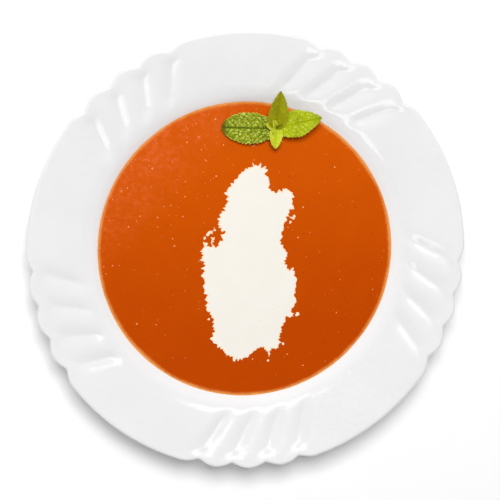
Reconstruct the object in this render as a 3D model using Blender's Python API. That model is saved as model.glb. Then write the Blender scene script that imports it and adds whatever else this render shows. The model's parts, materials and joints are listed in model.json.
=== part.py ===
"""Tomato soup in a white soup plate with a fluted rim, with a pool of cream and a mint tip on it.

Sizes are in metres. +Z is up, and the origin is the middle of the plate's foot, on the table.
Run it with: blender --background --python part.py
"""

import math

import bmesh
import bpy
from mathutils import Vector

MM = 0.001
GAP = 0.3 * MM  # left between two pieces that touch
CREAM_SIDE_GAP = 0.45 * MM  # wider, so that it stays over GAP at the outline's corners
CUTTER_REACH = 2 * MM  # of a cutter past the face that it opens

# Plate: the section of its upper face
PLATE_RADIUS = 112.5 * MM
FLOOR_TOP = 4.4 * MM
FLOOR_RADIUS = 49.3 * MM
WELL_BEND = 28.0 * MM  # radius of the bend from the floor up into the wall
WALL_SLOPE = math.radians(60)
BRIM_RADIUS = 73.8 * MM  # where the wall ends and the brim's wide bend begins
BRIM_BEND = 21.0 * MM
RIM_SLOPE = math.radians(16)
WALL_THICKNESS = 3.2 * MM
RIM_THICKNESS = 2.8 * MM

# Plate: its foot ring, seen from below
FOOT_OUTER = 54.5 * MM
FOOT_INNER = 50.0 * MM
FOOT_TOP_OUTER = 56.5 * MM
FOOT_TOP_INNER = 48.6 * MM
UNDERSIDE = 1.2 * MM

# Plate: groups of pressed grooves that swirl across the rim and notch its edge
GROOVES_IN_GROUP = 4
GROUP_DIRECTIONS = [math.radians(degrees) for degrees in (-90, -17, 57.5, 125, 198)]
GROOVE_STEP = math.radians(9.2)
GROOVE_DEPTH = 1.3 * MM
NOTCH_DEPTH = 2.6 * MM
GROOVE_SOFTNESS = 0.10  # rounds the bottom of a groove, as a share of its half width
SWIRL = math.radians(8)  # turn of a groove between the edge and the brim
SWIRL_POWER = 1.6
GROOVE_START = 81.3 * MM
GROOVE_FULL = 90.0 * MM
NOTCH_START = 96.0 * MM
BAND_START = 103.5 * MM  # of the edge band, where the grooves get shallower
BAND_FULL = 109.5 * MM
BAND_SHARE = 0.4  # of the grooves' depth that is left there
COLUMNS_IN_LOBE = 5
COLUMNS_IN_ARC = 5

# Soup
SOUP_LEVEL = 22.2 * MM
SOUP_COLUMNS = 44

# Cream: a thin pool that floats in the soup. Its outline runs clockwise from its top tip
CREAM_PROUD = 0.4 * MM
CREAM_DEPTH = 1.6 * MM
CREAM_CURVE_STEPS = 2
CREAM_OUTLINE_MM = [
    (5.7, 44.3), (9.5, 42.9), (10.8, 38.5), (13.3, 31.2), (19.6, 31.7), (23.8, 29.5),
    (25.1, 21.4), (21.7, 18.0), (20.8, 12.9), (18.7, 7.7), (18.3, 3.4), (21.3, -3.4),
    (20.8, -7.7), (26.3, -12.8), (26.7, -18.8), (26.3, -28.2), (23.8, -35.1), (19.6, -37.6),
    (17.9, -45.3), (16.3, -51.3), (11.6, -56.0), (7.0, -51.3), (2.8, -53.9), (-5.6, -57.5),
    (-9.8, -55.6), (-14.0, -51.3), (-18.6, -45.8), (-16.9, -36.0), (-20.7, -30.8),
    (-21.6, -22.2), (-22.4, -13.7), (-23.3, 0.0), (-22.4, 4.3), (-18.6, 2.6), (-17.4, 7.7),
    (-12.7, 8.6), (-14.4, 13.7), (-14.0, 18.5), (-10.3, 24.0), (-9.4, 30.8), (-4.8, 36.8),
    (2.0, 42.8),
]

# Mint: a stem tip that stands in the soup, with two pairs of leaves
STEM_FOOT = Vector((14.6, 60.5, 18.2)) * MM
STEM_NODE = Vector((15.1, 61.5, 25.4)) * MM
STEM_RADIUS = 1.1 * MM
STEM_SIDES = 8
BUD_RADIUS = 1.8 * MM
BUD_HEIGHT = 3.0 * MM
BUD_CENTRE = STEM_NODE + Vector((0, 0, 2.6 * MM))
LEAF_THICKNESS = 0.7 * MM
LEAF_ROWS = 14
LEAF_STALK_HALF_WIDTH = 0.8 * MM
LEAF_TOOTH = 0.05  # depth of a tooth, as a share of the leaf's half width
# Each leaf: height of its base over the node in mm, heading, length and width in mm, slope at its
# base, change of slope to its tip, lift of its halves from the midrib, and lean to one side
LEAVES = {
    "left": dict(lift=0.3, heading=178, length=28.5, width=16.5, slope=3, bend=-14, fold=6, lean=0),
    "right": dict(lift=1.2, heading=16, length=24.5, width=13.5, slope=10, bend=4, fold=12, lean=-6),
    "top": dict(lift=2.4, heading=84, length=20.0, width=10.5, slope=18, bend=14, fold=20, lean=6),
    "bottom": dict(lift=3.0, heading=-92, length=11.5, width=7.5, slope=20, bend=-34, fold=18, lean=0),
}

PLATE_WHITE = (0.86, 0.86, 0.86, 1)
SOUP_ORANGE = (0.63, 0.10, 0.005, 1)
CREAM_WHITE = (0.90, 0.87, 0.80, 1)
MINT_GREEN = (0.26, 0.34, 0.03, 1)


def clear_scene():
    for obj in list(bpy.data.objects):
        bpy.data.objects.remove(obj)


def material(name, colour, roughness):
    made = bpy.data.materials.new(name)
    made.use_nodes = True
    shader = made.node_tree.nodes["Principled BSDF"]
    shader.inputs["Base Color"].default_value = colour
    shader.inputs["Roughness"].default_value = roughness
    shader.inputs["Metallic"].default_value = 0.0
    made.diffuse_color = colour
    return made


def object_from(name, bm, finish=None):
    """Puts a bmesh in a new object of the scene."""
    mesh = bpy.data.meshes.new(name)
    bm.to_mesh(mesh)
    bm.free()
    obj = bpy.data.objects.new(name, mesh)
    bpy.context.scene.collection.objects.link(obj)
    if finish:
        mesh.materials.append(finish)
    return obj


def make_helper(obj):
    obj.hide_render = True
    obj.display_type = "WIRE"
    return obj


def add_boolean(obj, operation, other):
    cut = obj.modifiers.new(f"{operation.lower()} {other.name}", "BOOLEAN")
    cut.operation = operation
    cut.object = other


def ease(value, start, end):
    """0 before start, 1 after end, and smooth between them."""
    share = min(1.0, max(0.0, (value - start) / (end - start)))
    return share * share * (3 - 2 * share)


def arc(middle, radius, first_slope, last_slope, steps, side):
    """Points of a bend, by the slope there. Side 1 is a hollow bend and -1 a round one."""
    points = []
    for i in range(steps + 1):
        slope = first_slope + (last_slope - first_slope) * i / steps
        across = middle[0] + side * radius * math.sin(slope)
        up = middle[1] - side * radius * math.cos(slope)
        points.append((across, up))
    return points


def well_bend_middle():
    return (FLOOR_RADIUS, FLOOR_TOP + WELL_BEND)


def brim_bend_middle():
    """Middle of the brim's bend, which the straight wall runs into."""
    foot = arc(well_bend_middle(), WELL_BEND, WALL_SLOPE, WALL_SLOPE, 1, 1)[0]
    brim_height = foot[1] + (BRIM_RADIUS - foot[0]) * math.tan(WALL_SLOPE)
    return (
        BRIM_RADIUS + BRIM_BEND * math.sin(WALL_SLOPE),
        brim_height - BRIM_BEND * math.cos(WALL_SLOPE),
    )


def rim_line(radius, thickness):
    """Height of the rim's straight stretch at a radius, thickness below its upper face."""
    start = arc(brim_bend_middle(), BRIM_BEND, RIM_SLOPE, RIM_SLOPE, 1, -1)[0]
    return start[1] + (radius - start[0]) * math.tan(RIM_SLOPE) - thickness / math.cos(RIM_SLOPE)


def upper_section():
    """The plate's upper face, from the middle outwards, as (radius, height)."""
    well = arc(well_bend_middle(), WELL_BEND, 0, WALL_SLOPE, 4, 1)
    brim = arc(brim_bend_middle(), BRIM_BEND, WALL_SLOPE, RIM_SLOPE, 3, -1)
    rim_radii = (GROOVE_FULL, 97.0 * MM, BAND_START, PLATE_RADIUS - 1.8 * MM)
    rim = [(radius, rim_line(radius, 0)) for radius in rim_radii]
    return [(0, FLOOR_TOP)] + well + brim + rim


def edge_section():
    """The plate's rounded outer edge, from its upper face to its lower one."""
    middle = rim_line(PLATE_RADIUS - 0.6 * MM, RIM_THICKNESS / 2)
    return [
        (PLATE_RADIUS - 0.4 * MM, middle + 0.7 * MM),
        (PLATE_RADIUS, middle),
        (PLATE_RADIUS - 0.5 * MM, middle - 0.9 * MM),
    ]


def lower_section():
    """The plate's lower face, from the edge inwards, with the foot ring."""
    rim_radii = (PLATE_RADIUS - 2.0 * MM, BAND_START, GROOVE_FULL)
    rim = [(radius, rim_line(radius, RIM_THICKNESS)) for radius in rim_radii]
    brim = arc(brim_bend_middle(), BRIM_BEND - WALL_THICKNESS, RIM_SLOPE, WALL_SLOPE, 2, -1)[1:-1]
    bend = WELL_BEND + WALL_THICKNESS
    well = arc(well_bend_middle(), bend, WALL_SLOPE, math.radians(18), 3, 1)
    foot = [
        (FOOT_TOP_OUTER, UNDERSIDE + 0.5 * MM),
        (FOOT_OUTER, 0),
        (FOOT_INNER, 0),
        (FOOT_TOP_INNER, UNDERSIDE),
        (0, UNDERSIDE),
    ]
    return rim + brim + well + foot


def plate_columns():
    """Directions of the plate's mesh columns, close together on the lobes."""
    columns = []
    lobe_span = GROOVES_IN_GROUP * GROOVE_STEP
    lobe_columns = GROOVES_IN_GROUP * COLUMNS_IN_LOBE
    following = GROUP_DIRECTIONS[1:] + [GROUP_DIRECTIONS[0] + 2 * math.pi]
    for middle, next_middle in zip(GROUP_DIRECTIONS, following):
        start = middle - lobe_span / 2
        columns += [start + lobe_span * i / lobe_columns for i in range(lobe_columns)]
        start += lobe_span
        arc_span = next_middle - middle - lobe_span
        columns += [start + arc_span * i / COLUMNS_IN_ARC for i in range(COLUMNS_IN_ARC)]
    return columns


def groove_share(direction):
    """1 at the bottom of a groove, 0 on the ridges and on the plain arcs between the groups."""
    nearest = math.inf
    for middle in GROUP_DIRECTIONS:
        for groove in range(GROOVES_IN_GROUP):
            at = middle + (groove - (GROOVES_IN_GROUP - 1) / 2) * GROOVE_STEP
            away = abs((direction - at + math.pi) % (2 * math.pi) - math.pi)
            nearest = min(nearest, away)
    share = min(1.0, nearest / (GROOVE_STEP / 2))
    rise = math.hypot(math.sin(share * math.pi / 2), GROOVE_SOFTNESS)
    full = math.hypot(1, GROOVE_SOFTNESS)
    return (full - rise) / (full - GROOVE_SOFTNESS)


def swirl_at(radius):
    """How far a groove has turned at a radius, counted from the plate's edge."""
    inwards = 1 - min(1.0, max(0.0, (radius - GROOVE_START) / (PLATE_RADIUS - GROOVE_START)))
    return SWIRL * inwards**SWIRL_POWER


def plate_point(radius, height, direction):
    """A point of the plate's section, pressed down in the grooves and drawn in at the notches."""
    share = groove_share(direction)
    turned = direction + swirl_at(radius)
    drawn_in = radius - NOTCH_DEPTH * share * ease(radius, NOTCH_START, PLATE_RADIUS)
    shallower = 1 - (1 - BAND_SHARE) * ease(radius, BAND_START, BAND_FULL)
    depth = GROOVE_DEPTH * share * ease(radius, GROOVE_START, GROOVE_FULL) * shallower
    return (drawn_in * math.cos(turned), drawn_in * math.sin(turned), height - depth)


def revolved(section, directions, place):
    """A closed skin round the axis. The section's first and last points lie on the axis."""
    bm = bmesh.new()
    top = bm.verts.new(place(*section[0], 0))
    bottom = bm.verts.new(place(*section[-1], 0))
    rings = []
    for radius, height in section[1:-1]:
        rings.append([bm.verts.new(place(radius, height, turn)) for turn in directions])
    count = len(directions)
    for j in range(count):
        after = (j + 1) % count
        bm.faces.new((top, rings[0][j], rings[0][after]))
        for inner, outer in zip(rings, rings[1:]):
            bm.faces.new((inner[j], outer[j], outer[after], inner[after]))
        bm.faces.new((bottom, rings[-1][after], rings[-1][j]))
    return bm


def make_plate(finish):
    section = upper_section() + edge_section() + lower_section()
    bm = revolved(section, plate_columns(), plate_point)
    return object_from("plate", bm, finish)


def soup_section():
    """The soup from the middle of its surface, down along the plate's wall, to the middle of the floor."""
    brim_bend = BRIM_BEND + GAP
    top_slope = math.acos((SOUP_LEVEL - brim_bend_middle()[1]) / brim_bend)
    brim = arc(brim_bend_middle(), brim_bend, top_slope, WALL_SLOPE, 2, -1)
    well = arc(well_bend_middle(), WELL_BEND - GAP, WALL_SLOPE, 0, 5, 1)
    return [(0, SOUP_LEVEL)] + brim + well + [(0, FLOOR_TOP + GAP)]


def plain_point(radius, height, direction):
    return (radius * math.cos(direction), radius * math.sin(direction), height)


def smooth_outline(corners, steps):
    """Points of a closed curve through the corners, by Catmull and Rom's formula."""
    points = []
    count = len(corners)
    for i in range(count):
        before, here, after, beyond = (Vector(corners[(i + k) % count]) for k in (-1, 0, 1, 2))
        for step in range(steps):
            t = step / steps
            points.append(
                here
                + (after - before) * t / 2
                + (2 * before - 5 * here + 4 * after - beyond) * t**2 / 2
                + (3 * here - before - 3 * after + beyond) * t**3 / 2
            )
    return points


def cream_outline():
    corners = [Vector(corner) * MM for corner in reversed(CREAM_OUTLINE_MM)]
    return smooth_outline(corners, CREAM_CURVE_STEPS)


def widened(outline, distance):
    """A counter-clockwise outline moved outwards by a distance."""
    moved = []
    count = len(outline)
    for i, point in enumerate(outline):
        along = (outline[(i + 1) % count] - outline[i - 1]).normalized()
        moved.append(point + Vector((along.y, -along.x)) * distance)
    return moved


def slab(outline, low, high):
    """An upright slab with a counter-clockwise outline."""
    bm = bmesh.new()
    face = bm.faces.new([bm.verts.new((x, y, high)) for x, y in outline])
    made = bmesh.ops.extrude_face_region(bm, geom=[face], use_keep_orig=True)
    lowered = [item for item in made["geom"] if isinstance(item, bmesh.types.BMVert)]
    for vert in lowered:
        vert.co.z = low
    bmesh.ops.recalc_face_normals(bm, faces=bm.faces)
    return bm


def make_cream(finish):
    pool = slab(cream_outline(), SOUP_LEVEL - CREAM_DEPTH, SOUP_LEVEL + CREAM_PROUD)
    return object_from("cream", pool, finish)


def make_soup(finish):
    directions = [2 * math.pi * i / SOUP_COLUMNS for i in range(SOUP_COLUMNS)]
    bm = revolved(soup_section(), directions, plain_point)
    soup = object_from("soup", bm, finish)

    round_cream = widened(cream_outline(), CREAM_SIDE_GAP)
    bed = slab(round_cream, SOUP_LEVEL - CREAM_DEPTH - GAP, SOUP_LEVEL + CUTTER_REACH)
    add_boolean(soup, "DIFFERENCE", make_helper(object_from("cream bed", bed)))

    well = stem_solid(STEM_RADIUS + GAP, STEM_FOOT.z - GAP)
    add_boolean(soup, "DIFFERENCE", make_helper(object_from("stem well", well)))
    return soup


def stem_solid(radius, foot_height):
    """A round stem from below the soup's surface up to the leaf node."""
    bm = bmesh.new()
    rise = STEM_NODE - STEM_FOOT
    rings = []
    for height in (foot_height, STEM_NODE.z + 1.5 * MM):
        middle = STEM_FOOT + rise * ((height - STEM_FOOT.z) / rise.z)
        turns = [2 * math.pi * i / STEM_SIDES for i in range(STEM_SIDES)]
        rings.append(
            [bm.verts.new(middle + Vector((math.cos(a), math.sin(a), 0)) * radius) for a in turns]
        )
    low, high = rings
    bm.faces.new(reversed(low))
    bm.faces.new(high)
    for i in range(STEM_SIDES):
        after = (i + 1) % STEM_SIDES
        bm.faces.new((low[i], low[after], high[after], high[i]))
    return bm


def leaf_half_width(share):
    """Half width of a leaf along its length, as a share of its widest."""
    return math.sin(math.pi * share**0.78) ** 0.75 if 0 < share < 1 else 0.0


def leaf_sheet(lift, heading, length, width, slope, bend, fold, lean):
    """A leaf's upper face, folded along its midrib, bent along its length and toothed at its edge."""
    bm = bmesh.new()
    ahead = Vector((math.cos(math.radians(heading)), math.sin(math.radians(heading)), 0))
    side = Vector((-ahead.y, ahead.x, 0))
    up = Vector((0, 0, 1))
    spine = STEM_NODE + up * lift * MM
    rows = []
    for row in range(LEAF_ROWS + 1):
        share = row / LEAF_ROWS
        pitch = math.radians(slope + bend * share)
        along = ahead * math.cos(pitch) + up * math.sin(pitch)
        over = up * math.cos(pitch) - ahead * math.sin(pitch)
        tooth = 1 + LEAF_TOOTH * (-1) ** row
        half = leaf_half_width(share) * width / 2 * MM * tooth
        half = max(half, LEAF_STALK_HALF_WIDTH * (1 - 0.6 * share))
        verts = []
        for across in (-1, -0.5, 0, 0.5, 1):
            tilt = math.radians(lean + (fold if across > 0 else -fold))
            reach = side * math.cos(tilt) + over * math.sin(tilt)
            verts.append(bm.verts.new(spine + reach * across * half))
        rows.append(verts)
        spine = spine + along * length * MM / LEAF_ROWS
    for near, far in zip(rows, rows[1:]):
        for k in range(len(near) - 1):
            bm.faces.new((near[k], far[k], far[k + 1], near[k + 1]))
    return bm


def make_leaf(name, sizes):
    leaf = make_helper(object_from(f"leaf {name}", leaf_sheet(**sizes)))
    thickness = leaf.modifiers.new("thickness", "SOLIDIFY")
    thickness.thickness = LEAF_THICKNESS
    thickness.offset = 0
    return leaf


def make_bud():
    bm = bmesh.new()
    bmesh.ops.create_icosphere(bm, subdivisions=2, radius=BUD_RADIUS)
    bmesh.ops.scale(bm, vec=(1, 1, BUD_HEIGHT / BUD_RADIUS), verts=bm.verts)
    bmesh.ops.translate(bm, vec=BUD_CENTRE, verts=bm.verts)
    return make_helper(object_from("bud", bm))


def make_mint(finish):
    mint = object_from("mint_sprig", stem_solid(STEM_RADIUS, STEM_FOOT.z), finish)
    add_boolean(mint, "UNION", make_bud())
    for name, sizes in LEAVES.items():
        add_boolean(mint, "UNION", make_leaf(name, sizes))
    return mint


def main():
    clear_scene()
    plate = make_plate(material("white glazed ware", PLATE_WHITE, 0.15))
    make_soup(material("tomato soup", SOUP_ORANGE, 0.25))
    make_cream(material("cream", CREAM_WHITE, 0.35))
    make_mint(material("mint leaf", MINT_GREEN, 0.5))
    plate.data.shade_smooth()
    plate.data.set_sharp_from_angle(angle=math.radians(40))


main()
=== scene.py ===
"""A plate of tomato soup with cream and a mint tip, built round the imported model.

Sizes are in metres, in the model's own frame: +Z is up, and the origin is the middle of the
plate's foot, on the table. Every piece stands for the solid of the same place in that model.
"""

import json
import math
import random

import bpy
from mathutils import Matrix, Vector, geometry, kdtree, noise

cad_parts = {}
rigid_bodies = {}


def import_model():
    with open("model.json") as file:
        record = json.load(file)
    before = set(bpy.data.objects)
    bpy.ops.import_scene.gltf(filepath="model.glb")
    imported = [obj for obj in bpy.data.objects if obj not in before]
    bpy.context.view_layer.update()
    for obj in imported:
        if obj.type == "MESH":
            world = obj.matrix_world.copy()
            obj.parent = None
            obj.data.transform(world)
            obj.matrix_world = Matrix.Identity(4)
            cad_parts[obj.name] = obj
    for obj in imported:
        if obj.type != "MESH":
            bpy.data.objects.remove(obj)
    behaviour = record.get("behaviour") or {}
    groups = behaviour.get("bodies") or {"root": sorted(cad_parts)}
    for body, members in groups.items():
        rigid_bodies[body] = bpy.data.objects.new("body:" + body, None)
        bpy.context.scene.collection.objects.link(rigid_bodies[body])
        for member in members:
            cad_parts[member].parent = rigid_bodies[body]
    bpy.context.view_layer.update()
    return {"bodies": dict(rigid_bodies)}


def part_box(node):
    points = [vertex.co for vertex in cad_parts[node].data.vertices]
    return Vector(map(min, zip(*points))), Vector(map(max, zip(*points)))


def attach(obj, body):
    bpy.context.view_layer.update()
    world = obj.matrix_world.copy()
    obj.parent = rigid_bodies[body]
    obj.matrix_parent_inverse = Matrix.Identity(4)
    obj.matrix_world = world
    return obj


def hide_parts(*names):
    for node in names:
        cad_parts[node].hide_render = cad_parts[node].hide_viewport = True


bl_info = {
    "name": "Plate of Tomato Soup",
    "version": (1, 0, 0),
    "blender": (4, 5, 0),
    "location": "View3D > Sidebar > Soup",
    "description": "Builds a fluted soup plate with tomato soup, a pool of cream and a mint tip",
    "category": "Mesh",
}

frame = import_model()
BODY = next(iter(frame["bodies"]))

MM = 0.001
PLATE_RADIUS = min(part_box("plate")[1].xy)
SOUP_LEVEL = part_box("soup")[1].z
CREAM_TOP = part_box("cream")[1].z
STEM_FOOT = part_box("mint_sprig")[0].z

GROUP_DIRECTIONS = (-90, -17, 57.5, 125, 198)  # of the middle of each group of grooves, in degrees

NOTCH_REACH = 16 * MM  # from the plate's edge in to where its notches begin
FADE_START = 9 * MM  # from the plate's edge in to where its grooves start to fade,
FADE_END = 3 * MM  # and to where they are at their shallowest,
FADED = 0.6  # which takes away this share of their depth
SWIRL_POWER = 1.6  # above 1, the grooves turn most at their inner ends

# The outline of the pool of cream, in mm, clockwise from its top tip
CREAM_OUTLINE = [
    (5.2, 44.4), (9.2, 42.9), (10.9, 38.5), (13.3, 31.4), (16.5, 30.6), (19.6, 31.7),
    (23.7, 29.6), (24.2, 25.0), (25.1, 21.4), (21.7, 18.0), (20.4, 12.9), (18.9, 7.7),
    (18.3, 3.6), (20.4, 0.6), (21.5, -3.4), (20.2, -5.8), (20.9, -9.0), (24.2, -10.3),
    (25.6, -13.2), (26.5, -18.2), (25.8, -23.8), (26.5, -28.0), (24.2, -31.2), (23.8, -35.1),
    (20.1, -37.6), (18.9, -41.5), (17.9, -46.0), (16.3, -51.2), (12.9, -52.3), (11.8, -56.6),
    (11.0, -53.0), (7.2, -51.5), (4.5, -52.3), (1.8, -54.8), (-1.9, -57.2), (-6.0, -57.5),
    (-9.8, -55.4), (-14.0, -51.0), (-18.4, -46.0), (-16.8, -42.4), (-17.0, -37.5),
    (-18.6, -33.2), (-20.9, -30.0), (-20.6, -25.0), (-22.0, -19.0), (-22.3, -12.0),
    (-22.6, -5.0), (-23.3, 0.2), (-22.3, 4.2), (-20.6, 4.0), (-18.7, 1.6), (-17.9, 6.2),
    (-16.8, 6.6), (-16.6, 2.8), (-14.6, 1.9), (-13.6, 5.2), (-11.6, 8.4), (-13.4, 10.6),
    (-14.4, 14.0), (-14.0, 17.0), (-11.8, 20.6), (-10.5, 25.0), (-9.7, 30.6), (-5.8, 36.2),
    (-1.2, 40.9), (2.0, 43.2),
]
POOL = [Vector(corner) * MM for corner in CREAM_OUTLINE]
# Drops of cream that came off the pool, as x, y and radius in mm
CREAM_DROPS = [
    (-17.6, 9.9, 0.95), (-19.0, 8.8, 0.75), (-16.5, 11.2, 0.6), (24.2, 16.2, 1.0),
    (23.0, 14.4, 0.65), (25.0, 17.4, 0.6), (11.5, -58.6, 0.5), (-20.0, -36.2, 0.45),
    (21.8, 11.6, 0.5), (-22.0, 6.8, 0.4), (19.5, -49.6, 0.35), (26.5, -34.4, 0.35),
]
CREAM_PITS = [(16.9, -30.9), (7.5, -37.8)]

GRAIN_RANGE = (0.3, 0.7)  # which the grain rarely leaves
WRINKLE_SEED = 3  # of the noise that bends the leaves' veins
LEAF_MARKS = ("relief", "rim", "along")  # attributes of a leaf's points, for its colours
# Each leaf: height of its base over the node in mm, heading, length and width in mm, where it is
# widest along its length, how pointed it is, slope at its base, change of slope to its tip, lift of
# its halves from the midrib, lean to one side, depth of its wrinkles in mm, spacing of its side
# veins in mm, how dark the painted shade in its creases and its tip is, how pale the painted
# highlights on its puffs and edges are, and which of the mint's colours it has
LEAVES = {
    "left": dict(
        lift=0.3, heading=178.5, length=27.5, width=15.8, widest=0.47, point=0.46, slope=3, bow=-14,
        fold=6, lean=0, wrinkle=0.66, veins=2.9, crease_shade_and_tip=0.85, painted_light=0.58, flesh="grown",
    ),
    "right": dict(
        lift=1.2, heading=14, length=24.4, width=14.0, widest=0.42, point=0.74, slope=15, bow=6,
        fold=12, lean=-6, wrinkle=0.30, veins=2.7, crease_shade_and_tip=0.26, painted_light=0.35, flesh="bright",
    ),
    "top": dict(
        lift=2.4, heading=86, length=20.6, width=11.0, widest=0.34, point=0.66, slope=17, bow=11,
        fold=20, lean=6, wrinkle=0.14, veins=2.3, crease_shade_and_tip=0.16, painted_light=0.12, flesh="olive",
    ),
    "bottom": dict(
        lift=3.0, heading=-94, length=10.2, width=7.4, widest=0.31, point=0.64, slope=20, bow=-30,
        fold=18, lean=0, wrinkle=0.14, veins=1.7, crease_shade_and_tip=0.12, painted_light=0.40, flesh="young",
    ),
    "bud_left": dict(
        lift=2.6, heading=152, length=6.4, width=4.0, widest=0.40, point=0.50, slope=26, bow=-20,
        fold=22, lean=0, wrinkle=0.12, veins=1.1, crease_shade_and_tip=0.20, painted_light=0.55, flesh="young",
    ),
    "bud_back": dict(
        lift=2.8, heading=108, length=5.8, width=3.2, widest=0.35, point=0.55, slope=40, bow=-20,
        fold=26, lean=0, wrinkle=0.12, veins=1.1, crease_shade_and_tip=0.25, painted_light=0.45, flesh="young",
    ),
    "bud_right": dict(
        lift=2.8, heading=40, length=4.6, width=2.6, widest=0.35, point=0.55, slope=50, bow=-18,
        fold=26, lean=0, wrinkle=0.12, veins=1.1, crease_shade_and_tip=0.60, painted_light=0.10, flesh="olive",
    ),
    "bud_front": dict(
        lift=3.2, heading=-130, length=3.8, width=2.6, widest=0.35, point=0.55, slope=50, bow=-30,
        fold=24, lean=0, wrinkle=0.10, veins=1.1, crease_shade_and_tip=0.20, painted_light=0.55, flesh="young",
    ),
}


# Properties


def size(name, text, value):
    return bpy.props.FloatProperty(
        name=name, description=text, default=value, min=0, precision=5, subtype="DISTANCE", unit="LENGTH"
    )


def angle(name, text, degrees):
    return bpy.props.FloatProperty(
        name=name, description=text, default=math.radians(degrees), subtype="ANGLE", unit="ROTATION"
    )


def share(name, text, value):
    return bpy.props.FloatProperty(
        name=name, description=text, default=value, min=0, max=1, subtype="FACTOR"
    )


def amount(name, text, value):
    return bpy.props.FloatProperty(name=name, description=text, default=value, min=0)


def count(name, text, value):
    return bpy.props.IntProperty(name=name, description=text, default=value, min=1)


def colour(name, text, value):
    return bpy.props.FloatVectorProperty(
        name=name, description=text, default=(*value, 1), size=4, min=0, max=1, subtype="COLOR"
    )


class SoupPlateProperties(bpy.types.PropertyGroup):
    """Sizes and glaze of the plate."""

    radius: size("Radius", "From the middle to the edge", PLATE_RADIUS)
    floor_top: size("Floor height", "Height of the well's floor", 4.4 * MM)
    floor_radius: size("Floor radius", "Radius of the flat floor", 49.3 * MM)
    well_bend: size("Well bend", "Radius of the bend up into the wall", 28.0 * MM)
    wall_slope: angle("Wall slope", "Steepness of the well's wall", 60)
    brim_radius: size("Brim radius", "Where the wall runs into the brim", 73.8 * MM)
    brim_bend: size("Brim bend", "Radius of the brim", 21.0 * MM)
    rim_slope: angle("Rim slope", "Steepness of the rim", 16)
    wall: size("Wall", "Thickness of the well's wall", 3.2 * MM)
    rim: size("Rim", "Thickness of the rim", 2.8 * MM)
    foot_outer: size("Foot outside", "Outer radius of the foot ring's flat", 54.5 * MM)
    foot_inner: size("Foot inside", "Inner radius of the foot ring's flat", 50.0 * MM)
    underside: size("Underside", "Height of the floor's lower face", 1.2 * MM)
    grooves: count("Grooves", "Grooves in a group", 4)
    groove_step: angle("Groove step", "Turn from one groove to the next", 9.2)
    groove_start: size("Groove start", "Radius where the grooves begin", 81.3 * MM)
    groove_full: size("Groove full", "Radius where they are at their deepest", 90.0 * MM)
    groove_depth: size("Groove depth", "Depth of a groove in the rim", 1.3 * MM)
    notch_depth: size("Notch depth", "Depth of a notch in the edge", 2.6 * MM)
    groove_softness: share("Groove softness", "Roundness of a groove's bottom", 0.10)
    swirl: angle("Swirl", "Turn of a groove from the edge to the brim", 8)
    columns: count("Columns", "Steps of the turned section", 720)
    glaze: colour("Glaze", "Colour of the glaze", (0.765, 0.765, 0.77))
    # Painted light: the well's glaze is painted lighter to lift the shade on the well's wall.
    well_glaze_painted_light: colour("Well glaze", "Colour of the thicker glaze in the well", (0.865, 0.87, 0.88))
    roughness: share("Roughness", "Roughness of the glaze", 0.11)


class TomatoSoupProperties(bpy.types.PropertyGroup):
    """Level and colours of the soup."""

    meniscus: size("Meniscus", "How far the soup creeps up the wall", 0.5 * MM)
    meniscus_reach: size("Meniscus reach", "Width of that rise", 1.1 * MM)
    overlap: size("Overlap", "How far the soup reaches into the wall", 0.2 * MM)
    ripple: size("Ripple", "Height of the unevenness of the surface", 0.12 * MM)
    bubbles: count("Bubbles", "Small bubbles on the surface", 150)
    specks: count("Specks", "Dark specks of spice", 26)
    columns: count("Columns", "Steps of the turned surface", 300)
    # Painted shade and painted light: the soup's colours away from and towards the light.
    painted_shade_soup: colour("Deep", "Colour away from the light", (0.453, 0.053, 0.0))
    painted_light: colour("Pale", "Colour towards the light", (0.57, 0.085, 0.001))
    froth: colour("Froth", "Colour of the thin froth on the far left", (0.64, 0.108, 0.020))
    oil: colour("Oil", "Colour of the thin edge", (0.76, 0.32, 0.08))
    foam: colour("Foam", "Colour of the bubbles", (0.90, 0.36, 0.16))
    spice: colour("Spice", "Colour of the specks", (0.16, 0.015, 0.004))


class CreamPoolProperties(bpy.types.PropertyGroup):
    """Size and colours of the cream."""

    thickness: size("Thickness", "Thickness of the pool", 1.0 * MM)
    voxel: size("Voxel", "Cell of the remesh that rounds the pool's edge", 0.25 * MM)
    scallop: size("Scallop", "Depth of the larger scallops of its edge", 1.1 * MM)
    fray: size("Fray", "Depth of the finer fraying of its edge", 2.0 * MM)
    cream: colour("Cream", "Colour of the cream", (0.80, 0.765, 0.70))
    # Painted shade: the cream's colour in its hollows.
    shadow: colour("Hollow", "Colour in its hollows", (0.74, 0.70, 0.63))
    stain: colour("Stain", "Colour of its edge, where soup mixes in", (0.93, 0.62, 0.34))


class MintTipProperties(bpy.types.PropertyGroup):
    """Size and colours of the mint."""

    node_x: size("Node X", "Where the leaves meet", 14.6 * MM)
    node_y: size("Node Y", "Where the leaves meet", 62.8 * MM)
    node_z: size("Node height", "Where the leaves meet", 25.4 * MM)
    thickness: size("Thickness", "Thickness of a leaf", 0.35 * MM)
    stem_radius: size("Stem", "Radius of the stem", 1.1 * MM)
    rows: count("Rows", "Mesh rows along a leaf", 96)
    columns: count("Columns", "Mesh columns across a leaf", 64)
    # Painted shade: the colour in the wrinkles, also used for darker random patches.
    crease_shade_and_patches: colour("Crease", "Colour in the wrinkles", (0.045, 0.085, 0.004))
    grown: colour("Grown", "Colour of a full grown leaf", (0.31, 0.36, 0.010))
    bright: colour("Bright", "Colour of a fresh leaf", (0.42, 0.49, 0.003))
    olive: colour("Olive", "Colour of an ageing leaf", (0.33, 0.31, 0.0))
    young: colour("Young", "Colour of a young leaf", (0.56, 0.62, 0.020))
    # Painted highlight: the colour of the raised parts.
    puff_highlight: colour("Puff", "Colour of the raised parts", (0.66, 0.70, 0.20))
    # Painted highlight: the colour of the leaves' edges.
    edge: colour("Edge", "Colour of the leaves' edges", (0.66, 0.62, 0.09))
    tip: colour("Tip", "Colour of the tips", (0.10, 0.085, 0.006))


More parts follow.
